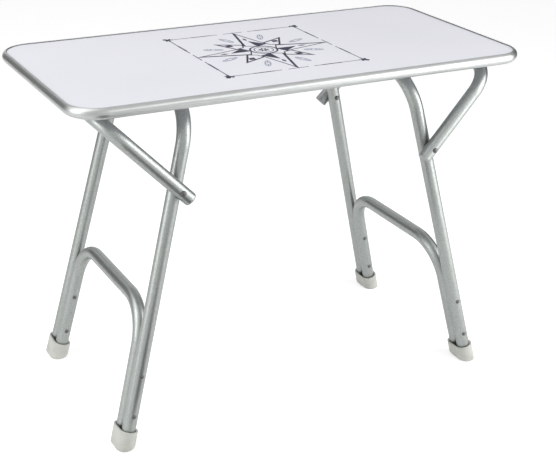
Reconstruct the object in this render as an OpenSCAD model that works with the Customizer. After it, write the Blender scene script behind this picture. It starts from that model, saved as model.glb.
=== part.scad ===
// Folding boat table: a laminated board in an aluminium rim, on two folding frames of bent tube.
// The origin is on the floor under the middle of the board. +X runs to the right end, +Y to the rear.

/* [Board and rim] */
// Length over the rim
top_l = 880; // [760:10:1040]
// Width over the rim
top_w = 440; // [410:5:520]
// Height of the rim above the floor
table_h = 638; // [580:1:700]
// Corner radius over the rim
corner_r = 58; // [35:1:75]
// Thickness of the board
board_t = 16; // [12:0.5:17]
// Height of the rim
rim_h = 20; // [19:0.5:24]
// Width of the rim, seen from above
rim_w = 7.2; // [6.5:0.1:8.5]
// Wall of the rim
rim_wall = 1.4; // [1:0.1:1.8]
// How far the board reaches under the rim's lips
lip_cover = 1.8; // [1:0.1:2.5]
// Play of the board in the rim
board_play = 0.05; // [0.02:0.01:0.1]
// Gap where the two ends of the rim meet
rim_joint_gap = 0.4; // [0.2:0.1:1]

/* [Compass print] */
// Side of the square border
print_side = 268; // [200:2:300]
// Width of the border's lines
print_line = 1.8; // [0.8:0.1:2.5]
// Thickness of the ink on the board
print_t = 0.15; // [0.1:0.05:0.3]
// Reach of the star's diagonal points
star_short = 99; // [85:1:110]
// Half width of the star's long points
star_shoulder = 24; // [20:1:28]
// Half width of the diagonal points
star_short_shoulder = 18; // [14:1:20]
// Width of the star's outlines
star_line = 2.4; // [1.5:0.1:3]
// Radius of the ring in the middle
ring_r = 26; // [20:1:28]
// Size of the mark on each corner of the border
corner_mark_s = 8; // [5:0.5:12]
// Length of the faint marks between the points
faint_mark_l = 34; // [20:1:40]

/* [Tubes] */
// Outer diameter of every tube
tube_d = 25; // [22:0.5:28]
// Wall of every tube
tube_wall = 1.5; // [1:0.1:2.5]
// Gap between the rim's underside and the tubes beneath it
bar_gap = 3.4; // [2:0.1:8]

/* [Leg frames] */
// From the end of the board to the crossbar of a leg frame
leg_bar_inset = 221.5; // [200:0.5:240]
// Outward lean of the legs
lean = 14.1; // [8:0.1:18]
// Sideways splay of the legs and of the brace arms
splay = 3.675; // [1:0.025:5]
// From the side of the board to the middle of a leg at the floor
foot_inset = 22; // [20:0.5:40]
// Bend radius of the legs
leg_bend_r = 75; // [60:1:85]
// Along the leg, from the floor to the crossbar of the stretcher
stretcher_rise = 253.8; // [240:0.2:300]
// Bend radius of the stretcher
stretcher_bend_r = 75; // [55:1:85]
// Gap between a leg and the stretcher arm beside it
stretcher_gap = 0.2; // [0.1:0.05:0.5]

/* [Braces] */
// From the end of the board to the crossbar of a brace
brace_bar_inset = 56; // [52:0.5:75]
// Along the leg, from its crossbar to the pivot rivet
rivet_drop = 138; // [120:1:150]
// How far a brace arm reaches past its rivet
brace_tail = 22; // [16:0.5:30]
// Bend radius of the braces
brace_bend_r = 60; // [45:1:65]
// Gap between a leg and the brace arm beside it
pivot_gap = 0.6; // [0.5:0.05:1.2]
// Flange of the plug in the end of a brace arm
plug_t = 2; // [1:0.1:3]
// How far a plug goes into its tube
plug_l = 12; // [6:0.5:20]

/* [Rivets and screws] */
// Diameter of the pivot rivets
pivot_rivet_d = 6; // [5:0.5:8]
// Head diameter of the pivot rivets
pivot_head_d = 10; // [9:0.5:12]
// Radial play of a rivet in its holes
rivet_play = 0.05; // [0.02:0.01:0.1]
// Play under the heads of the pivot rivets
pivot_head_gap = 0.45; // [0.4:0.05:0.8]
// Diameter of the stretcher rivets
rivet_d = 4.8; // [4:0.1:6]
// Head diameter of the stretcher rivets
rivet_head_d = 8.5; // [7:0.5:10]
// Along the leg, from the floor to the lower stretcher rivet
lower_rivet_rise = 64.8; // [60:0.2:75]
// Distance between the two stretcher rivets of a leg
rivet_pitch = 76; // [50:1:80]
// Diameter of the screws into the board
screw_d = 4; // [3:0.1:5]
// Head diameter of the screws
screw_head_d = 8; // [7:0.1:10]
// Height of the screw heads
screw_head_h = 2.4; // [1.5:0.1:3]
// Span of the cross recess in a screw head
screw_recess_l = 4.2; // [3:0.1:5]
// Width of each slot of the recess
screw_recess_w = 1; // [0.6:0.1:1.4]
// Depth of the recess
screw_recess_t = 1.4; // [0.8:0.1:1.4]
// How far the screws go into the board
screw_bite = 9; // [6:0.5:11]

/* [Feet] */
// Height of a foot along the leg
foot_h = 35; // [30:1:50]
// Wall of a foot round the tubes
foot_wall = 4.4; // [3:0.1:5]
// Radial play of the tubes in a foot
foot_play = 0.1; // [0.05:0.01:0.2]
// How much wider the mouth of a foot is all round
foot_mouth = 1.2; // [0.5:0.1:2]
// Depth of the wider mouth
foot_mouth_t = 5; // [2:0.5:8]
// Least thickness of the sole under the tubes
sole_t = 4.5; // [3:0.1:7]
// Rounding of the sole's edge
sole_round = 5; // [2:0.1:7]

/* [Saddles and hooks] */
// Length of a saddle along the board
saddle_l = 58; // [54:1:70]
// Width of a saddle across the board
saddle_w = 24; // [18:1:30]
// From the middle of the board to each saddle
saddle_y = 70; // [50:1:85]
// Thickness of a strap
strap_t = 2; // [1.5:0.1:3]
// Width of a strap
strap_w = 20; // [16:1:24]
// Running play of a crossbar in its saddle
saddle_play = 0.08; // [0.03:0.01:0.1]
// Width of a hook across the board
hook_w = 30; // [26:1:40]
// From the middle of the board to each hook
hook_y = 55; // [40:1:62]
// Wall of a hook
hook_wall = 5; // [3.5:0.1:7]
// Play of a leg crossbar in its hook
hook_play = 0.4; // [0.35:0.05:0.8]
// Length of a hook's screw flange
hook_flange = 16; // [13:0.5:22]
// Thickness of a hook's screw flange
hook_flange_t = 5; // [3:0.1:6]
// Distance between the two screws of a hook
hook_screw_pitch = 16; // [12:0.5:18]

/* [Hidden] */
$fn = 64;

left = -1;
right = 1;
front = -1;
rear = 1;

aluminium = [0.78, 0.79, 0.8];
laminate = [0.92, 0.92, 0.95];
ink = [0.2, 0.22, 0.42];
faint_ink = [0.72, 0.74, 0.82];
moulded_grey = [0.62, 0.63, 0.62];
foot_white = [0.86, 0.86, 0.82];
zinc = [0.66, 0.67, 0.68];

tube_r = tube_d / 2;
bore_r = tube_r - tube_wall;

// Heights of the board
rim_mid_z = table_h - rim_h / 2;
board_top_z = rim_mid_z + board_t / 2;
board_under_z = rim_mid_z - board_t / 2;
board_edge = rim_w - lip_cover;

// The rim's outside is an arc from lip to lip
rim_bulge_r = (rim_w * rim_w + rim_h * rim_h / 4) / (2 * rim_w);

// Crossbars: the legs' and the braces' lie at one height under the board
bar_z = table_h - rim_h - bar_gap - tube_r;
leg_bar_x = top_l / 2 - leg_bar_inset;
brace_bar_x = top_l / 2 - brace_bar_inset;
bar_depth = board_under_z - bar_z;

// A leg's middle line, in the frame's own plane: y at a distance u down from the crossbar
floor_u = bar_z / cos(lean);
foot_y = top_w / 2 - foot_inset;
function leg_y(u) = foot_y - (floor_u - u) * tan(splay);
leg_end_u = (bar_z - sole_t - tube_r * sin(lean)) / cos(lean);
stretcher_drop = floor_u - stretcher_rise;
lower_rivet_drop = floor_u - lower_rivet_rise;

// Middle of a bend whose arm runs out at the splay and stands at y when u below the crossbar
function bend_y(y, u, bend_r) =
    round(100 * (y - bend_r * cos(splay) - (u - bend_r * (1 - sin(splay))) * tan(splay))) / 100;
leg_bend_y = bend_y(leg_y(floor_u), floor_u, leg_bend_r);

// Stretcher arms lie against the inside of the legs
stretcher_pitch = tube_d + stretcher_gap;
stretcher_y = leg_y(stretcher_drop) - stretcher_pitch / cos(splay);
stretcher_end = leg_end_u - stretcher_drop;
stretcher_bend_y = bend_y(stretcher_y, 0, stretcher_bend_r);

// Pivot rivets, and the braces that run from them to their own crossbar
rivet_x = leg_bar_x + rivet_drop * sin(lean);
rivet_z = bar_z - rivet_drop * cos(lean);
rivet_y = leg_y(rivet_drop);
brace_angle = atan2(brace_bar_x - rivet_x, bar_z - rivet_z);
brace_l = norm([brace_bar_x - rivet_x, bar_z - rivet_z]);
brace_y = rivet_y + tube_d + pivot_gap;
brace_bend_y = bend_y(brace_y, brace_l, brace_bend_r);
function brace_arm_y(u) = brace_y + (u - brace_l) * tan(splay);

// Feet
foot_r = tube_r + foot_play + foot_wall;
foot_top_u = floor_u - foot_h;

// Saddles and hooks
saddle_screw_x = saddle_l / 2 - screw_head_d / 2 - 1.5;
saddle_seat_r = tube_r + saddle_play;
hook_seat_r = tube_r + hook_play;
hook_screw_x = hook_seat_r + hook_wall + hook_flange / 2;

// Places and mirrors

module on_side(s) {
    mirror([s < 0 ? 1 : 0, 0, 0]) children();
}

module on_end(e) {
    mirror([0, e < 0 ? 1 : 0, 0]) children();
}

module in_leg_plane() {
    translate([leg_bar_x, 0, bar_z]) rotate([0, -lean, 0]) children();
}

module in_brace_plane() {
    translate([brace_bar_x, 0, bar_z]) rotate([0, brace_angle, 0]) children();
}

module along_y(w) {
    rotate([90, 0, 0]) linear_extrude(w, center = true) children();
}

module tube_section() {
    difference() {
        circle(r = tube_r);
        circle(r = bore_r);
    }
}

// Core of the wall, which carries it across a joint of two lengths
module wall_core() {
    linear_extrude(0.4, center = true) difference() {
        circle(r = tube_r - tube_wall / 4);
        circle(r = bore_r + tube_wall / 4);
    }
}

// Bent tube: a crossbar along Y, two bends, and two splayed arms that end u below the crossbar
module bent_tube(bend_y, bend_r, end_u) {
    arm_l = (end_u - bend_r * (1 - sin(splay))) / cos(splay);
    rotate([90, 0, 0]) linear_extrude(2 * bend_y, center = true) tube_section();
    for (e = [front, rear]) on_end(e) translate([0, bend_y, -bend_r]) {
        translate([0, 0, bend_r]) rotate([90, 0, 0]) wall_core();
        rotate([90, 0, 90]) rotate_extrude(start = splay, angle = 90 - splay)
            translate([bend_r, 0]) tube_section();
        rotate([splay, 0, 0]) translate([0, bend_r, 0]) rotate([0, 0, 90]) {
            wall_core();
            translate([0, 0, -arm_l]) linear_extrude(arm_l) tube_section();
        }
    }
}

// Rivet along Z, its shank from 0 to l, with a domed head beyond each end
module rivet(d, head_d, l) {
    head_h = head_d / 4;
    dome_r = (head_d * head_d / 4 + head_h * head_h) / (2 * head_h);
    cylinder(h = l, d = d);
    for (z = [0, l]) translate([0, 0, z]) mirror([0, 0, z == 0 ? 1 : 0]) intersection() {
        cylinder(h = head_h, d = head_d);
        translate([0, 0, head_h - dome_r]) sphere(r = dome_r);
    }
}

// Screw along Z, its pan head below 0, with a cross recess
module screw(grip) {
    dome_r = screw_head_d;
    cylinder(h = grip + screw_bite, d = screw_d);
    difference() {
        translate([0, 0, -screw_head_h]) intersection() {
            cylinder(h = screw_head_h, d = screw_head_d);
            translate([0, 0, dome_r]) sphere(r = dome_r);
        }
        for (a = [0, 90]) rotate([0, 0, a]) translate([0, 0, -screw_head_h])
            cube([screw_recess_l, screw_recess_w, 2 * screw_recess_t], center = true);
    }
}

// Board and rim

module rounded_plate(l, w, r) {
    square([l - 2 * r, w], center = true);
    square([l, w - 2 * r], center = true);
    for (x = [-1, 1], y = [-1, 1]) translate([x * (l / 2 - r), y * (w / 2 - r)]) circle(r = r);
}

module saddle_screw_places() {
    for (s = [left, right], e = [front, rear], x = [-1, 1])
        on_side(s) on_end(e) translate([brace_bar_x + x * saddle_screw_x, saddle_y, 0]) children();
}

module hook_screw_places() {
    for (s = [left, right], e = [front, rear], y = [-1, 1])
        on_side(s) on_end(e) translate([leg_bar_x - hook_screw_x, hook_y + y * hook_screw_pitch / 2, 0])
            children();
}

module board() {
    pilot_h = screw_bite + 0.5;
    color(laminate) difference() {
        translate([0, 0, board_under_z]) linear_extrude(board_t)
            rounded_plate(top_l - 2 * board_edge, top_w - 2 * board_edge, corner_r - board_edge);
        saddle_screw_places() translate([0, 0, board_under_z - 1])
            cylinder(h = pilot_h + 1, d = screw_d + 0.1);
        hook_screw_places() translate([0, 0, board_under_z - 1])
            cylinder(h = pilot_h + 1, d = screw_d + 0.1);
    }
}

// Section of the rim: x is the distance from the corner's middle, y the height above the rim's middle
module rim_section() {
    slot_h = board_t + 2 * board_play;
    difference() {
        intersection() {
            translate([corner_r - rim_bulge_r, 0]) circle(r = rim_bulge_r);
            translate([corner_r - rim_w, -rim_h / 2]) square([rim_w + 1, rim_h]);
        }
        translate([corner_r - rim_w - 1, -slot_h / 2]) square([1 + lip_cover + board_play, slot_h]);
        intersection() {
            translate([corner_r - rim_bulge_r, 0]) circle(r = rim_bulge_r - rim_wall);
            translate([corner_r - rim_w - 1, -slot_h / 2]) square([rim_w, slot_h]);
        }
    }
}

module rim_run(l, reach) {
    translate([0, reach - corner_r, 0]) rotate([90, 0, 90]) linear_extrude(l, center = true) rim_section();
}

module edge_rim() {
    run_l = top_l - 2 * corner_r;
    run_w = top_w - 2 * corner_r;
    color(aluminium) translate([0, 0, rim_mid_z]) difference() {
        union() {
            rim_run(run_l, top_w / 2);
            rotate([0, 0, 180]) rim_run(run_l, top_w / 2);
            rotate([0, 0, 90]) rim_run(run_w, top_l / 2);
            rotate([0, 0, 270]) rim_run(run_w, top_l / 2);
            for (q = [0, 1], s = [0, 1]) rotate([0, 0, 180 * s]) mirror([q, 0, 0])
                translate([run_l / 2, run_w / 2, 0]) rotate_extrude(angle = 90) rim_section();
        }
        translate([0, top_w / 2, 0]) cube([rim_joint_gap, 4 * rim_w, 2 * rim_h], center = true);
    }
}

// Print

// Corners of a point of the star along +X, drawn in by inset: heel, shoulder, tip, shoulder
function point_corners(root, reach, shoulder, inset) =
    let (
        shoulder_x = root + shoulder * 0.45,
        edge = norm([reach - shoulder_x, shoulder]),
        heel = norm([shoulder_x - root, shoulder]),
        in_r = (reach - root) * shoulder / (edge + heel),
        middle = [reach - in_r * edge / shoulder, 0],
        k = 1 - inset / in_r,
        corners = [[root, 0], [shoulder_x, -shoulder], [reach, 0], [shoulder_x, shoulder]]
    )
    [for (p = corners) middle + k * (p - middle)];

long_root = ring_r - star_line / 2;
long_reach = (print_side - print_line) / 2;
short_root = star_shoulder * 1.6;

module star_point(root, reach, shoulder, inset = 0) {
    polygon(point_corners(root, reach, shoulder, inset));
}

module long_point(inset = 0) {
    star_point(long_root, long_reach, star_shoulder, inset);
}

module short_point(inset = 0) {
    star_point(short_root, star_short, star_short_shoulder, inset);
}

module diamond(half_l, half_w) {
    polygon([[-half_l, 0], [0, -half_w], [half_l, 0], [0, half_w]]);
}

module ring(r, line) {
    difference() {
        circle(r = r);
        circle(r = r - line);
    }
}

// A long point: its outline, a dark wedge at its root and a lozenge farther out
module long_point_drawing() {
    corners = point_corners(long_root, long_reach, star_shoulder, star_line / 2);
    span = corners[2] - corners[0];
    difference() {
        long_point();
        long_point(star_line);
    }
    polygon([corners[0], corners[1], corners[0] + 0.4 * span]);
    translate(corners[0] + 0.52 * span)
        diamond(star_shoulder * 0.4, star_shoulder * 0.13);
}

// A diagonal point, behind the long ones, with a dark square inside
module short_point_drawing() {
    difference() {
        short_point();
        short_point(star_line);
        for (a = [-45, 45]) rotate([0, 0, a]) long_point(star_line / 2);
    }
    translate([(short_root + star_short) / 2, 0])
        diamond(star_short_shoulder * 0.4, star_short_shoulder * 0.35);
}

module border_side() {
    half = print_side / 2;
    translate([0, half - print_line / 2]) {
        for (x = [-1, 1]) {
            translate([x * half * 0.62, 0]) square([half * 0.76, print_line], center = true);
            translate([x * half * 0.5, 0]) square([half * 0.3, print_line * 1.8], center = true);
        }
        square([half * 0.3, print_line], center = true);
    }
}

module corner_mark() {
    reach = print_side / 2 - print_line / 2;
    translate([reach, reach]) {
        rotate([0, 0, 45]) square(corner_mark_s, center = true);
        for (q = [0, 1]) mirror([q, -q]) translate([-corner_mark_s, 0]) circle(d = corner_mark_s * 0.55);
    }
}

module compass_drawing() {
    for (a = [0:90:270]) rotate([0, 0, a]) {
        border_side();
        corner_mark();
        long_point_drawing();
        rotate([0, 0, 45]) short_point_drawing();
    }
    ring(ring_r, star_line);
    ring(ring_r * 0.72, star_line * 0.7);
    for (a = [0:45:315]) rotate([0, 0, a]) translate([ring_r * 0.26, 0])
        diamond(ring_r * 0.2, ring_r * 0.08);
}

module faint_drawing() {
    motif_r = print_side * 0.345;
    knot_r = faint_mark_l * 0.18;
    bar = faint_mark_l / 2 - knot_r + print_line / 2;
    for (a = [22.5:45:337.5]) rotate([0, 0, a]) translate([motif_r, 0]) {
        ring(knot_r, print_line);
        for (x = [-1, 1]) translate([x * (faint_mark_l - bar) / 2, 0]) diamond(bar / 2, print_line);
    }
}

module compass_print() {
    color(ink) translate([0, 0, board_top_z]) linear_extrude(print_t) compass_drawing();
}

module faint_print() {
    color(faint_ink) translate([0, 0, board_top_z]) linear_extrude(print_t) faint_drawing();
}

// Saddles of the brace crossbars

module saddle(s, e) {
    color(moulded_grey) on_side(s) on_end(e) translate([brace_bar_x, saddle_y, bar_z]) difference() {
        along_y(saddle_w) difference() {
            translate([-saddle_l / 2, 0]) square([saddle_l, bar_depth]);
            circle(r = saddle_seat_r);
        }
        for (x = [-1, 1]) translate([x * saddle_screw_x, 0, -1])
            cylinder(h = bar_depth + 2, d = screw_d + 0.4);
    }
}

module strap(s, e) {
    color(aluminium) on_side(s) on_end(e) translate([brace_bar_x, saddle_y, bar_z]) difference() {
        along_y(strap_w) difference() {
            union() {
                translate([-saddle_l / 2, -strap_t]) square([saddle_l, strap_t]);
                circle(r = saddle_seat_r + strap_t);
            }
            circle(r = saddle_seat_r);
            translate([-saddle_l, 0]) square([2 * saddle_l, 2 * tube_d]);
        }
        for (x = [-1, 1]) translate([x * saddle_screw_x, 0, -strap_t - 1])
            cylinder(h = strap_t + 2, d = screw_d + 0.4);
    }
}

module saddle_screws() {
    color(zinc) saddle_screw_places() translate([0, 0, bar_z - strap_t]) screw(strap_t + bar_depth);
}

// Hooks of the leg crossbars, open towards the end of the board

module hook_section() {
    back = hook_seat_r + hook_wall;
    difference() {
        union() {
            circle(r = back);
            translate([-back, 0]) square([2 * back, bar_depth]);
            translate([-back - hook_flange, bar_depth - hook_flange_t])
                square([back + hook_flange, hook_flange_t]);
        }
        circle(r = hook_seat_r);
        translate([0, -2 * tube_d]) square([2 * tube_d, 2 * tube_d + hook_seat_r]);
        translate([-2 * tube_d, bar_depth]) square([4 * tube_d, 2 * tube_d]);
    }
}

module hook(s, e) {
    color(moulded_grey) on_side(s) on_end(e) translate([leg_bar_x, hook_y, bar_z]) difference() {
        along_y(hook_w) hook_section();
        for (y = [-1, 1]) translate([-hook_screw_x, y * hook_screw_pitch / 2, 0])
            cylinder(h = bar_depth + 2, d = screw_d + 0.4);
    }
}

module hook_screws() {
    color(zinc) hook_screw_places() translate([0, 0, board_under_z - hook_flange_t]) screw(hook_flange_t);
}

// Braces

module brace_tube(s) {
    color(aluminium) on_side(s) difference() {
        in_brace_plane() bent_tube(brace_bend_y, brace_bend_r, brace_l + brace_tail);
        for (e = [front, rear]) on_end(e) translate([rivet_x, brace_y, rivet_z]) rotate([90, 0, 0])
            cylinder(h = 2 * tube_d, r = pivot_rivet_d / 2 + rivet_play, center = true);
    }
}

module brace_plug(s, e) {
    end_u = brace_l + brace_tail;
    color(moulded_grey) on_side(s) on_end(e) in_brace_plane()
        translate([0, brace_arm_y(end_u), -end_u]) rotate([splay, 0, 0]) {
            translate([0, 0, -plug_t]) cylinder(h = plug_t, r = tube_r - 0.3);
            cylinder(h = plug_l, r = bore_r - 0.1);
        }
}

// Leg frames

module at_leg(u) {
    in_leg_plane() translate([0, leg_y(u), -u]) rotate([splay, 0, 0]) children();
}

// Holes or rivets across a leg and the stretcher arm beside it
module stretcher_rivet_places() {
    for (e = [front, rear], u = [lower_rivet_drop - rivet_pitch, lower_rivet_drop]) on_end(e) at_leg(u)
        translate([0, tube_r, 0]) rotate([90, 0, 0]) children();
}

module pivot_rivet_places() {
    for (e = [front, rear]) on_end(e) translate([rivet_x, brace_y + tube_r + pivot_head_gap, rivet_z])
        rotate([90, 0, 0]) children();
}

module leg_tube(s) {
    color(aluminium) on_side(s) difference() {
        in_leg_plane() bent_tube(leg_bend_y, leg_bend_r, leg_end_u);
        pivot_rivet_places() cylinder(h = 3 * tube_d, r = pivot_rivet_d / 2 + rivet_play);
        stretcher_rivet_places() translate([0, 0, -1])
            cylinder(h = 3 * tube_d, r = rivet_d / 2 + rivet_play);
    }
}

module stretcher_tube(s) {
    color(aluminium) on_side(s) difference() {
        in_leg_plane() translate([0, 0, -stretcher_drop])
            bent_tube(stretcher_bend_y, stretcher_bend_r, stretcher_end);
        stretcher_rivet_places() translate([0, 0, -1])
            cylinder(h = 3 * tube_d, r = rivet_d / 2 + rivet_play);
    }
}

module pivot_rivets(s) {
    color(zinc) on_side(s) pivot_rivet_places()
        rivet(pivot_rivet_d, pivot_head_d, 2 * tube_d + pivot_gap + 2 * pivot_head_gap);
}

module stretcher_rivets(s) {
    seat = 0.05;
    color(zinc) on_side(s) stretcher_rivet_places() translate([0, 0, -seat])
        rivet(rivet_d, rivet_head_d, tube_d + stretcher_pitch + 2 * seat);
}

// Oblong outline round a leg end and a stretcher end, y from the leg's middle inwards
module foot_outline(r) {
    circle(r = r);
    translate([0, -stretcher_pitch]) circle(r = r);
    translate([-r, -stretcher_pitch]) square([2 * r, stretcher_pitch]);
}

// Level sole with a rounded edge, which trims the bottom of the leaning foot
module sole_trim() {
    r = foot_r / cos(lean) + 0.3;
    sole_x = leg_bar_x + bar_z * tan(lean);
    module edge() {
        difference() {
            square([r, sole_round]);
            difference() {
                translate([r - sole_round, -1]) square([sole_round + 1, sole_round + 1]);
                translate([r - sole_round, sole_round]) circle(r = sole_round);
            }
        }
    }
    translate([sole_x, foot_y, 0]) {
        rotate_extrude() edge();
        translate([0, -stretcher_pitch, 0]) rotate_extrude() edge();
        for (x = [0, 1]) mirror([x, 0, 0]) rotate([90, 0, 0]) linear_extrude(stretcher_pitch) edge();
        translate([-2 * r, -stretcher_pitch - 2 * r, sole_round])
            cube([4 * r, stretcher_pitch + 4 * r, 3 * foot_h]);
    }
}

module foot(s, e) {
    below = 15;
    color(foot_white) on_side(s) on_end(e) intersection() {
        at_leg(foot_top_u) difference() {
            translate([0, 0, -foot_h - below]) linear_extrude(foot_h + below) foot_outline(foot_r);
            translate([0, 0, -(leg_end_u - foot_top_u) / cos(splay)])
                linear_extrude(2 * foot_h) foot_outline(tube_r + foot_play);
            translate([0, 0, -foot_mouth_t])
                linear_extrude(2 * foot_h) foot_outline(tube_r + foot_play + foot_mouth);
        }
        sole_trim();
    }
}

board();
edge_rim();
compass_print();
faint_print();
saddle(left, front);  // left_front_saddle
saddle(left, rear);  // left_rear_saddle
saddle(right, front);  // right_front_saddle
saddle(right, rear);  // right_rear_saddle
strap(left, front);  // left_front_strap
strap(left, rear);  // left_rear_strap
strap(right, front);  // right_front_strap
strap(right, rear);  // right_rear_strap
saddle_screws();
hook(left, front);  // left_front_hook
hook(left, rear);  // left_rear_hook
hook(right, front);  // right_front_hook
hook(right, rear);  // right_rear_hook
hook_screws();
brace_tube(left);  // left_brace_tube
brace_plug(left, front);  // left_front_brace_plug
brace_plug(left, rear);  // left_rear_brace_plug
brace_tube(right);  // right_brace_tube
brace_plug(right, front);  // right_front_brace_plug
brace_plug(right, rear);  // right_rear_brace_plug
leg_tube(left);  // left_leg_tube
stretcher_tube(left);  // left_stretcher_tube
foot(left, front);  // left_front_foot
foot(left, rear);  // left_rear_foot
pivot_rivets(left);  // left_pivot_rivets
stretcher_rivets(left);  // left_stretcher_rivets
leg_tube(right);  // right_leg_tube
stretcher_tube(right);  // right_stretcher_tube
foot(right, front);  // right_front_foot
foot(right, rear);  // right_rear_foot
pivot_rivets(right);  // right_pivot_rivets
stretcher_rivets(right);  // right_stretcher_rivets
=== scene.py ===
# %% [markdown]
# # A folding boat table
# The table's solids come packed from its CAD source, and this lesson dresses them: metal, laminate, ink and
# moulded plastic, each as a small procedural material. The frame is loaded first, because every piece here
# takes its place from it.

# %% Load the frame
import math

import bpy
from mathutils import Matrix, Vector


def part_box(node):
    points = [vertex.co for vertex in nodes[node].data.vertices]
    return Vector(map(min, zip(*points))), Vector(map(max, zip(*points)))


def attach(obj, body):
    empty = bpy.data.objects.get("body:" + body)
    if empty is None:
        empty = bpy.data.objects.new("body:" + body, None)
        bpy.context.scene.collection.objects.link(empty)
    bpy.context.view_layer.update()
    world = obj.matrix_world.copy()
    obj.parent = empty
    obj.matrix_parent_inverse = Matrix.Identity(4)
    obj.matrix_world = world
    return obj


MM = 0.001

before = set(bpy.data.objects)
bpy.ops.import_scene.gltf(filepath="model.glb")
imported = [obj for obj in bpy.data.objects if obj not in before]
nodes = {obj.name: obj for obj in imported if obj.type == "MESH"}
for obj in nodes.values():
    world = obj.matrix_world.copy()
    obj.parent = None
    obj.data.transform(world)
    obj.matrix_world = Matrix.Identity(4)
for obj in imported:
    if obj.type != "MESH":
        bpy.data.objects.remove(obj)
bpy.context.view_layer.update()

# %% [markdown]
# ## The camera
# A product photograph like this one is taken from standing height with a longish lens, so that the long
# sides of the board stay nearly parallel. The camera could be placed by eye, but a small difference in lens
# shows at once in a table's legs. Its place, turn and lens were worked out from the corners of the board and
# the feet instead, and are written here as plain numbers: heading, downward tilt and a slight roll.

# %% Camera
CAMERA_PLACE = (-1.0042, -1.9463, 1.2189)
HEADING, TILT, ROLL = 0.491, -0.408, 0.018
LENS_PX, FRAME_PX = 1222.2, 556
SENSOR = 36.0

def camera_axes(heading, tilt, roll):
    """Right, up and backward directions of a camera that looks along its heading, tilted and rolled."""
    ahead = Vector((math.sin(heading) * math.cos(tilt), math.cos(heading) * math.cos(tilt), math.sin(tilt)))
    level = Vector((math.cos(heading), -math.sin(heading), 0))
    above = level.cross(ahead)
    right = level * math.cos(roll) + above * math.sin(roll)
    up = above * math.cos(roll) - level * math.sin(roll)
    return right, up, -ahead

camera = bpy.data.objects.new("camera", bpy.data.cameras.new("camera"))
bpy.context.scene.collection.objects.link(camera)
camera.data.sensor_width = SENSOR
camera.data.lens = LENS_PX / FRAME_PX * SENSOR
camera.data.clip_start, camera.data.clip_end = 0.05, 50
turn = Matrix(camera_axes(HEADING, TILT, ROLL)).transposed().to_4x4()
camera.matrix_world = Matrix.Translation(CAMERA_PLACE) @ turn
bpy.context.scene.camera = camera
print("lens:", round(camera.data.lens, 1), "mm at", SENSOR, "mm")

# %% [markdown]
# ## Shader maths in plain expressions
# A procedural material is arithmetic on noise and position. Placed node by node it is hard to read, so one
# small class wraps a socket and lets ordinary operators add the Math nodes. Noise, ramps and bumps come from
# one method that takes a node's type, its settings and its sockets.

# %% A socket that does arithmetic
class Wire:
    """One value in a material's node tree. Operators on it add Math nodes."""

    def __init__(self, tree, socket):
        self.tree, self.socket = tree, socket

    def node(self, kind, settings=None, out=0, **sockets):
        """Adds a node of that kind, sets its settings, then its sockets, and wraps one of its outputs.
        A socket goes by its name, with _ for a space, or by its number, as in i0."""
        made = self.tree.nodes.new(kind)
        for name, value in (settings or {}).items():
            setattr(made, name, value)
        for name, value in sockets.items():
            numbered = name[0] == "i" and name[1:].isdigit()
            socket = made.inputs[int(name[1:]) if numbered else name.replace("_", " ")]
            if isinstance(value, Wire):
                value.into(socket)
            else:
                socket.default_value = value
        return Wire(self.tree, made.outputs[out])

    def into(self, socket):
        """Links this value to that socket."""
        self.tree.links.new(self.socket, socket)

    def maths(self, operation, other):
        return self.node("ShaderNodeMath", {"operation": operation}, i0=self, i1=other)

    def __add__(self, other): return self.maths("ADD", other)
    def __sub__(self, other): return self.maths("SUBTRACT", other)
    def __mul__(self, other): return self.maths("MULTIPLY", other)
    def __radd__(self, other): return self + other
    def __rmul__(self, other): return self * other
    def __rsub__(self, other): return self * -1.0 + other

    def smooth(self, low, high):
        """0 below low, 1 above high, and a smooth rise between them."""
        return self.node("ShaderNodeMapRange", {"interpolation_type": "SMOOTHSTEP"},
                         Value=self, From_Min=low, From_Max=high)

    def colour_mix(self, one, other):
        """one where this value is 0, other where it is 1."""
        return self.node("ShaderNodeMix", {"data_type": "RGBA"}, out=2, i0=self, i6=one, i7=other)

    def stretched(self, x, y, z):
        """This vector with each axis scaled by its own factor."""
        return self.node("ShaderNodeVectorMath", {"operation": "MULTIPLY"}, i0=self, i1=(x, y, z))

    def noise(self, scale, detail=3.0, roughness=0.5):
        return self.node("ShaderNodeTexNoise", Vector=self, Scale=scale, Detail=detail, Roughness=roughness)

    def axis(self, name):
        return self.node("ShaderNodeSeparateXYZ", out="XYZ".index(name), Vector=self)

    def bump(self, strength, distance):
        return self.node("ShaderNodeBump", Height=self, Strength=strength, Distance=distance)

print("operators:", [name for name in vars(Wire) if name.startswith("__r")])

# %% [markdown]
# ## Making a finish and putting it on
# Each finish is one material with one shader. What is the same all over goes straight onto the shader's own
# sockets, and only what changes from place to place is linked. The noise is read at the object's own
# coordinates, so it stays on the piece when the table folds.

# %% Materials
def grey(value):
    return (value, value, value, 1)

def material(name, **constants):
    """A new material. Gives it, its shader, and the place on the object as a Wire."""
    made = bpy.data.materials.new(name)
    made.use_nodes = True
    tree = made.node_tree
    shader = tree.nodes["Principled BSDF"]
    for key, value in constants.items():
        shader.inputs[key.replace("_", " ")].default_value = value
    return made, shader, Wire(tree, tree.nodes.new("ShaderNodeTexCoord").outputs["Object"])

def feed(shader, **wires):
    """Links each wire to the shader's socket of that name."""
    for key, wire in wires.items():
        wire.into(shader.inputs[key.replace("_", " ")])

def ending(*ends):
    """The CAD nodes whose names end so."""
    return [name for name in nodes if name.endswith(ends)]

def wear(finish, *names):
    """Gives the CAD nodes of those names one material."""
    for name in names:
        mesh = nodes[name].data
        mesh.materials.clear()
        mesh.materials.append(finish)
    return finish

print("tubes to dress:", len(ending("_tube")))

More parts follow.
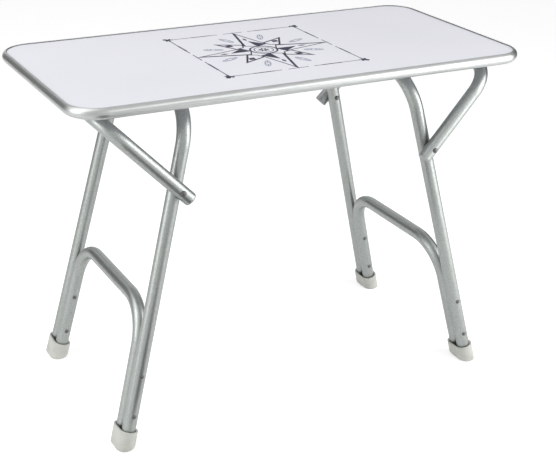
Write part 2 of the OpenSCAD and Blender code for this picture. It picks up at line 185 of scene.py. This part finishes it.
# %% [markdown]
# ## Anodised aluminium
# Frames and rim are satin anodised aluminium. Polished metal would mirror the room; anodising scatters the
# reflection along the tube into long soft highlights. A metal shader with middling roughness does that. Two
# layers of noise vary it: a broad one for uneven anodising, and a fine one for the grain of the etched skin.
# The rim is an extrusion, so its grain is drawn into lines that keep their height all the way round.

# %% Tube and rim metals
EVEN_GRAIN, DRAWN_GRAIN = (1, 1, 1), (0.05, 0.05, 3)
TUBE_TINT = (0.35, 0.37, 0.358, 1)
RIM_TINT = (0.47, 0.485, 0.48, 1)

def anodised(name, tint, rough, grain=EVEN_GRAIN):
    """Satin metal of that tint. grain stretches the fine noise: large factors make lines along the others."""
    made, shader, place = material(name, Metallic=1.0)
    uneven = place.noise(9.0, detail=4.0)
    fine = place.stretched(*grain).noise(380.0, detail=3.0, roughness=0.65)
    dull = uneven.smooth(0.42, 0.7)
    darker = tuple(part * 0.78 for part in tint[:3]) + (1,)
    feed(shader,
         Base_Color=(0.2 * dull + 0.8 * fine.smooth(0.36, 0.64)).colour_mix(tint, darker),
         Roughness=rough + 0.07 * uneven + 0.16 * (fine - 0.5),
         Normal=fine.bump(0.10, 0.4 * MM))
    return made

wear(anodised("tube_metal", TUBE_TINT, 0.36), *ending("_tube"))
wear(anodised("rim_metal", RIM_TINT, 0.34, DRAWN_GRAIN), "edge_rim", *ending("_strap"))
print("metal on:", len(ending("_tube")), "tubes, the rim and", len(ending("_strap")), "straps")

# %% [markdown]
# ## The board
# White laminate is paper under melamine: a faintly cool white with a soft sheen. It isn't quite even, so the
# colour drifts a little over the board, and a very fine bump breaks up the reflections as pressed melamine
# does. The gloss is kept low: a glossier board would mirror a lamp and lose its print when seen from behind.

# %% Laminate
laminate, shader, place = material("laminate", Specular_IOR_Level=0.35, Coat_Weight=0.08, Coat_Roughness=0.3)
drift = place.noise(2.2, detail=2.0)
pressed = place.noise(520.0, detail=3.0)
feed(shader,
     Base_Color=drift.smooth(0.3, 0.75).colour_mix((0.80, 0.80, 0.86, 1), (0.76, 0.77, 0.82, 1)),
     Roughness=0.50 + 0.08 * pressed,
     Normal=pressed.bump(0.06, 0.2 * MM))
wear(laminate, "board")
print("laminate nodes:", len(laminate.node_tree.nodes))

# %% [markdown]
# ## The printed compass
# The star is printed in dark blue ink, and small pale figures stand between its points. Printing on laminate
# is never solid: the ink thins out in tiny specks. Noise over a threshold mixes the board's colour back in.

# %% Inks
BOARD_THROUGH_INK = (0.72, 0.73, 0.80, 1)

def ink(name, colour, thin):
    """Printed ink of that colour, with specks where it has thinned towards the laminate."""
    made, shader, place = material(name, Specular_IOR_Level=0.15)
    specks = place.noise(700.0, detail=4.0, roughness=0.7).smooth(0.56, 0.72)
    patches = place.noise(40.0, detail=2.0).smooth(0.45, 0.8)
    feed(shader,
         Base_Color=(thin * specks + 0.06 * patches).colour_mix(colour, BOARD_THROUGH_INK),
         Roughness=0.55 + 0.1 * specks)
    return made

blue_ink = wear(ink("blue_ink", (0.012, 0.013, 0.040, 1), 0.12), "compass_print")
pale_ink = wear(ink("pale_ink", (0.30, 0.32, 0.40, 1), 0.3), "faint_print")
print("inks:", blue_ink.name, "and", pale_ink.name)

# %% [markdown]
# ## Measures of the print
# The press lays the dark ink down twice along one edge of each long point, on the diagonal points and on the
# corners, and rings the faint figures with ovals. This second pass has to lie exactly on the first, so the
# star's corners are written down once, in millimetres from its middle, for a point that lies along +X. Its
# height and the border's place are read from the frame, which is safer than repeating them.

# %% Sizes of the star
def at(x, y=0.0):
    """A point on the board, in millimetres from the middle of the star."""
    return Vector((x * MM, y * MM))

BOARD_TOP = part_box("board")[1][2]
PRINT_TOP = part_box("compass_print")[1][2]
BORDER_LINE = 1.8 * MM
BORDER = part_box("compass_print")[1][0] - BORDER_LINE / 2
TIP, SHOULDER, HEEL = Vector((BORDER, 0)), at(35.6, 24), at(24.8)
SHORT_TIP, SHORT_SHOULDER, SHORT_HEEL = at(99), at(46.5, 18), at(38.4)
LONG_STROKE, SHORT_STROKE = 4.6 * MM, 3.6 * MM
print("border at", round(BORDER / MM, 1), "mm, ink", round((PRINT_TOP - BOARD_TOP) / MM, 2), "mm thick")

# %% [markdown]
# ## Outlines to stamp
# A stroke, a ring and a dot are enough for the whole second pass. Each is a function that gives the corners of
# one outline. A ring is a single outline too: it runs round the outside and comes back round the inside.

# %% Stroke, ring and dot
def edge_strip(tip, shoulder, root, wide):
    """The strip inside the edge from tip to shoulder, down to the middle line and to the root's edge."""
    along = (tip - shoulder).normalized()
    inward = Vector((along.y, -along.x))
    if inward.y > 0:
        inward = -inward
    step = (root - shoulder).normalized()
    on_root = shoulder + step * (wide / step.dot(inward))
    on_middle = Vector((tip.x - wide / abs(inward.x), 0))
    return [tip, on_middle, on_root, shoulder]

def loop(middle, along, across, corners, closed=0):
    """The corners of an ellipse about that middle. closed=1 repeats the first one at the end."""
    return [Vector((middle.x + along * math.cos(math.tau * k / corners),
                    middle.y + across * math.sin(math.tau * k / corners))) for k in range(corners + closed)]

def ring(middle, along, across, line, corners=28):
    """An elliptic ring of that line, within those half axes."""
    inside = loop(middle, along - line, across - line, corners, closed=1)
    return loop(middle, along, across, corners, closed=1) + inside[::-1]

def dot(x, y, radius):
    return loop(Vector((x, y)), radius, radius, corners=20)

print("corners of a stroke:", len(edge_strip(TIP, SHOULDER, HEEL, LONG_STROKE)))

# %% [markdown]
# ## Stamping
# Ink that lies on a board is a flat shape a hair thick. It could be an image, but drawn as thin solids it
# stays sharp at any distance. Every shape is raised from the
# board's face, turned round the middle of the star as often as it repeats, and joined into one piece that
# rides on the top.

# %% Stamp
def stamp(name, finish, shapes, top):
    """Lays shapes on the board as one thin piece. Each is an outline and the angles that it is turned to."""
    points, faces = [], []
    for outline, angles in shapes:
        for angle in angles:
            turned = Matrix.Rotation(math.radians(angle), 2)
            low, count = len(points), len(outline)
            high = low + count
            for z in (BOARD_TOP, top):
                points += [(*(turned @ point), z) for point in outline]
            faces.append([high + k for k in range(count)])
            faces += [[low + k, low + (k + 1) % count, high + (k + 1) % count, high + k] for k in range(count)]
    mesh = bpy.data.meshes.new(name)
    mesh.from_pydata(points, [], faces)
    mesh.materials.append(finish)
    piece = bpy.data.objects.new(name, mesh)
    bpy.context.scene.collection.objects.link(piece)
    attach(piece, "top")
    print(name, "faces:", len(faces))

# %% [markdown]
# ## The second pass
# The long points get one heavy edge each, so that the star looks lit from one side. The diagonal points get
# both edges and a small diamond, the middle gets a ring, and each corner of the border three dots. The ovals
# stand between the points, at every odd sixteenth of a turn. All of it could be one drawing, but as a list of
# outlines and angles each motif is written once, and is easy to move or leave out.

# %% Heavy strokes and faint ovals
QUARTERS, DIAGONALS = range(0, 360, 90), range(45, 360, 90)
BETWEEN = [angle + 22.5 for angle in range(0, 360, 45)]
DIAMOND = [at(58), at(67, -7), at(76), at(67, 7)]
HUB, HUB_LINE = 27 * MM, 3.4 * MM
DOT, SMALL_DOT, DOT_STEP = 4.4 * MM, 2.7 * MM, 9 * MM
OVAL_MIDDLE, OVAL_LENGTH, OVAL_WIDTH, OVAL_LINE = at(92.5), 19 * MM, 6 * MM, 1.8 * MM
SECOND_COAT = PRINT_TOP + 0.02 * MM

short_edge = edge_strip(SHORT_TIP, SHORT_SHOULDER, SHORT_HEEL, SHORT_STROKE)
other_edge = [Vector((point.x, -point.y)) for point in short_edge][::-1]
heavy = [(edge_strip(TIP, SHOULDER, HEEL, LONG_STROKE), QUARTERS),
         (short_edge, DIAGONALS), (other_edge, DIAGONALS), (DIAMOND, DIAGONALS),
         (ring(at(0), HUB, HUB, HUB_LINE, corners=48), (0,)),
         (dot(BORDER, BORDER, DOT), QUARTERS),
         (dot(BORDER - DOT_STEP, BORDER, SMALL_DOT), QUARTERS),
         (dot(BORDER, BORDER - DOT_STEP, SMALL_DOT), QUARTERS)]
ovals = [(ring(OVAL_MIDDLE, OVAL_LENGTH, OVAL_WIDTH, OVAL_LINE), BETWEEN)]
stamp("heavy_strokes", blue_ink, heavy, SECOND_COAT)
stamp("faint_ovals", pale_ink, ovals, SECOND_COAT)

# %% [markdown]
# ## The painted lip shadow
# A thin dark grey strip lies on the laminate along the inner edge of the rim's lip. It is painted shade: it
# stands for the lip's shadow, the thin dark line that sets the white board off from the bright rim. It
# follows a rounded rectangle, so it is drawn like the rings: once round the outside and back on the inside.

# %% Painted shadow along the lip
RIM_WIDTH, RIM_CORNER = 7.2 * MM, 58 * MM
LIP_SHADOW_WIDTH, LIP_SHADOW_RISE, UNDER_LIP = 1.5 * MM, 0.6 * MM, 0.2 * MM
rim_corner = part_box("edge_rim")[1]
lip_x, lip_y = rim_corner[0] - RIM_WIDTH, rim_corner[1] - RIM_WIDTH
lip_corner = RIM_CORNER - RIM_WIDTH

def rounded_loop(half_x, half_y, radius, steps=16):
    """A rectangle with rounded corners, from the middle of the table, closed on its first point."""
    corners = []
    for k in range(4 * (steps + 1)):
        quarter, step = divmod(k, steps + 1)
        angle = math.tau / 4 * (quarter + step / steps)
        side_x = 1 if quarter in (0, 3) else -1
        side_y = 1 if quarter in (0, 1) else -1
        corners.append(Vector((side_x * (half_x - radius) + radius * math.cos(angle),
                               side_y * (half_y - radius) + radius * math.sin(angle))))
    return corners + corners[:1]

# Painted shade: a dark grey strip on the laminate that stands for the shadow of the rim's lip.
lip_shadow_paint, shader, place = material("lip_shadow_paint", Specular_IOR_Level=0.4)
skin = place.noise(240.0, detail=3.0)
feed(shader,
     Base_Color=skin.smooth(0.3, 0.7).colour_mix((0.10, 0.105, 0.11, 1), (0.20, 0.205, 0.21, 1)),
     Roughness=0.5 + 0.15 * skin,
     Normal=skin.bump(0.3, 0.4 * MM))
outside = rounded_loop(lip_x + UNDER_LIP, lip_y + UNDER_LIP, lip_corner)
inside = rounded_loop(lip_x - LIP_SHADOW_WIDTH, lip_y - LIP_SHADOW_WIDTH, lip_corner - LIP_SHADOW_WIDTH)
stamp("painted_lip_shadow", lip_shadow_paint, [(outside + inside[::-1], (0,))], BOARD_TOP + LIP_SHADOW_RISE)

# %% [markdown]
# ## Moulded plastic
# Feet, plugs, saddles and hooks are injection-moulded. Moulded plastic is even in colour but has a fine
# spark-eroded texture, which a plain colour would miss, and it gathers dirt where it meets the floor. Fine
# noise gives the texture, and the height above the floor drives the dirt, so only the soles are dirty.

# %% Plastics
DIRT_HEIGHT = 0.03

def moulded(name, colour, dirt_colour, dirt):
    """Moulded plastic with eroded texture, and dirt that fades out a few centimetres above the floor."""
    made, shader, place = material(name, Specular_IOR_Level=0.45)
    texture = place.noise(650.0, detail=2.0)
    smudge = place.noise(60.0, detail=4.0).smooth(0.35, 0.75)
    low = 1 - place.axis("Z").smooth(0.0, DIRT_HEIGHT)
    feed(shader,
         Base_Color=(dirt * low * smudge + 0.12 * smudge).colour_mix(colour, dirt_colour),
         Roughness=0.46 + 0.12 * texture,
         Normal=texture.bump(0.12, 0.3 * MM))
    return made

feet, fittings, plugs = ending("_foot"), ending("_saddle", "_hook"), ending("_plug")
wear(moulded("foot_plastic", (0.53, 0.54, 0.50, 1), (0.30, 0.29, 0.26, 1), 0.35), *feet)
wear(moulded("grey_plastic", (0.20, 0.205, 0.21, 1), grey(0.12), 0.2), *fittings)
wear(moulded("plug_plastic", (0.36, 0.37, 0.37, 1), grey(0.2), 0.2), *plugs)
print("mouldings:", len(feet), "feet,", len(fittings), "saddles and hooks,", len(plugs), "plugs")

# %% [markdown]
# ## Softened edges
# No mould makes a sharp edge, and an edge of no radius never catches the light. The radius could be cut in
# the solids, at the cost of many faces. A Bevel modifier adds it to what is shown only: the feet are soft,
# the small fittings only a little rounded. Weld joins the mesh first, and Weighted Normal keeps the large
# faces flat.

# %% Soften
FOOT_EDGE, FITTING_EDGE = 1.4 * MM, 0.5 * MM
SHARP = math.radians(35)

def soften(width, *names):
    """Rounds the sharp edges of those CAD nodes as they are shown. The solids themselves stay as they are."""
    for name in names:
        modifiers = nodes[name].modifiers
        modifiers.new("weld", "WELD").merge_threshold = 1e-6
        bevel = modifiers.new("soften", "BEVEL")
        bevel.width, bevel.segments, bevel.limit_method = width, 3, "ANGLE"
        bevel.angle_limit = SHARP
        bevel.use_clamp_overlap = True
        modifiers.new("shade", "WEIGHTED_NORMAL").keep_sharp = False

soften(FOOT_EDGE, *feet)
soften(FITTING_EDGE, *fittings)
print("softened:", len(feet) + len(fittings))

# %% [markdown]
# ## Fasteners
# The screws are zinc plated and the rivets are of a darker steel. Both are satin metal with an even grain, so
# the recipe of the tubes serves again with another tint. Here every node should have its finish, which the
# last line shows.

# %% Screws and rivets
wear(anodised("zinc", (0.50, 0.51, 0.52, 1), 0.36), *ending("_screws"))
wear(anodised("rivet_steel", grey(0.13), 0.42), *ending("_rivets"))
print("nodes without a finish:", [name for name, piece in nodes.items() if len(piece.data.materials) != 1])

# %% [markdown]
# ## Lamps
# Metal shows what stands round it, so it needs large even lamps rather than strong ones. One hangs over the
# left end, which lights the board from left to right. Two low ones stand at the left and at the right front
# and draw the long highlights on the tubes, and a weak one in front brightens the upper edge of the rim.

# %% Soft lamps
MIDDLE = (0, 0, 0.35)

def soft_lamp(name, place, width, height, watts):
    """A rectangular area lamp at that place, turned to the middle of the table."""
    lamp = bpy.data.objects.new(name, bpy.data.lights.new(name, "AREA"))
    lamp.data.shape, lamp.data.energy = "RECTANGLE", watts
    lamp.data.size, lamp.data.size_y = width, height
    lamp.location = place
    lamp.rotation_euler = (Vector(MIDDLE) - Vector(place)).to_track_quat("-Z", "Y").to_euler()
    bpy.context.scene.collection.objects.link(lamp)
    return watts

total = (soft_lamp("top", (-1.4, 0.0, 2.5), 1.8, 1.8, 17)
         + soft_lamp("front", (0.9, -1.8, 1.6), 1.4, 1.0, 6)
         + soft_lamp("left", (-2.2, -0.2, 1.2), 1.2, 2.0, 22)
         + soft_lamp("right", (1.5, -1.2, 0.75), 1.3, 1.5, 25))
print("lamps:", total, "W")

# %% [markdown]
# ## A white background
# The photograph is a cut-out on white. More light would burn out the board before the background turned
# white, so the world keeps a plain level for the light that it sheds, and full white for the rays that the
# eye follows: from the camera, off a gloss or through glass. Metal then mirrors the white that surrounds it.

# %% World
WORLD_LIGHT = 0.5

def seen_directly(tree):
    """1 for rays that the eye follows: from the camera, off a gloss or through glass. 0 for the rest."""
    path = tree.nodes.new("ShaderNodeLightPath").outputs
    camera_ray, glossy_ray, glass_ray = (
        Wire(tree, path[f"Is {kind} Ray"]) for kind in ("Camera", "Glossy", "Transmission"))
    return (camera_ray + glossy_ray + glass_ray).maths("MINIMUM", 1.0)

world = bpy.data.worlds.new("studio")
bpy.context.scene.world = world
world.use_nodes = True
sky = world.node_tree.nodes["Background"]
sky.inputs["Color"].default_value = grey(1)
(WORLD_LIGHT + (1.0 - WORLD_LIGHT) * seen_directly(world.node_tree)).into(sky.inputs["Strength"])
print("world light:", WORLD_LIGHT)

# %% [markdown]
# ## The floor
# The floor is one plain pale sheet. It has to look as white as the world and yet keep the shadow of the feet,
# so it is painted pale and glows a little, again only for the rays that the eye follows. The glow lifts it to
# white where the lamps reach it, and the shadow stays as a faint grey.

# %% Floor
FLOOR_REACH, FLOOR_PAINT, FLOOR_GLOW = 8.0, 0.80, 0.50

def sheet(name, corners, paint):
    """A flat sheet on the stage, with those corners."""
    mesh = bpy.data.meshes.new(name)
    mesh.from_pydata(corners, [], [range(len(corners))])
    mesh.materials.append(paint)
    made = bpy.data.objects.new(name, mesh)
    bpy.context.scene.collection.objects.link(made)
    return made

floor_paint, shader, place = material("floor_paint", Roughness=0.9, Specular_IOR_Level=0.2,
                                      Base_Color=grey(FLOOR_PAINT), Emission_Strength=1.0)
glow = seen_directly(floor_paint.node_tree).colour_mix(grey(0), grey(FLOOR_GLOW))
feed(shader, Emission_Color=glow)
sheet("floor", [(x * FLOOR_REACH, y * FLOOR_REACH, 0) for x, y in ((-1, -1), (1, -1), (1, 1), (-1, 1))],
      floor_paint)
print("floor:", 2 * FLOOR_REACH, "m square")

# %% [markdown]
# ## Dark cards
# In a white room bright metal turns flat and loses its roundness. A studio stands dark cards beside it, so
# that every tube mirrors a dark line between its highlights. The three cards here are seen by glossy
# surfaces only. One lies before the left legs and darkens the middle of the upright tubes. A grey one stands
# far off behind the left end, for the crossbars and the end of the rim. One stands at the right, for the far
# corner.

# %% Cards for the metal
CARD_LIFT = 0.002

def upright(x0, y0, x1, y1, low, high):
    """The corners of a card that stands on the line between two places, from one height to another."""
    return [(x0, y0, low), (x1, y1, low), (x1, y1, high), (x0, y0, high)]

def dark_card(name, corners, tone):
    """A card that only a glossy surface sees."""
    paint, shader, place = material(name, Roughness=1.0, Specular_IOR_Level=0.0, Base_Color=grey(tone))
    card = sheet(name, corners, paint)
    card.visible_camera = card.visible_diffuse = False
    card.visible_shadow = card.visible_transmission = False

lying = [(x, y, CARD_LIFT) for x, y in ((-0.80, -1.70), (-0.04, -1.70), (-0.16, -0.36), (-0.46, -0.36))]
dark_card("floor_flag", lying, 0.03)
dark_card("far_flag", upright(-2.8, 1.7, -0.9, 2.9, 0.1, 2.3), 0.22)
dark_card("side_flag", upright(2.2, -0.40, 1.9, 1.1, 0.1, 1.6), 0.03)
bpy.context.scene.view_settings.view_transform = "Standard"

# %% [markdown]
# The dressed table may not be larger than its solids.
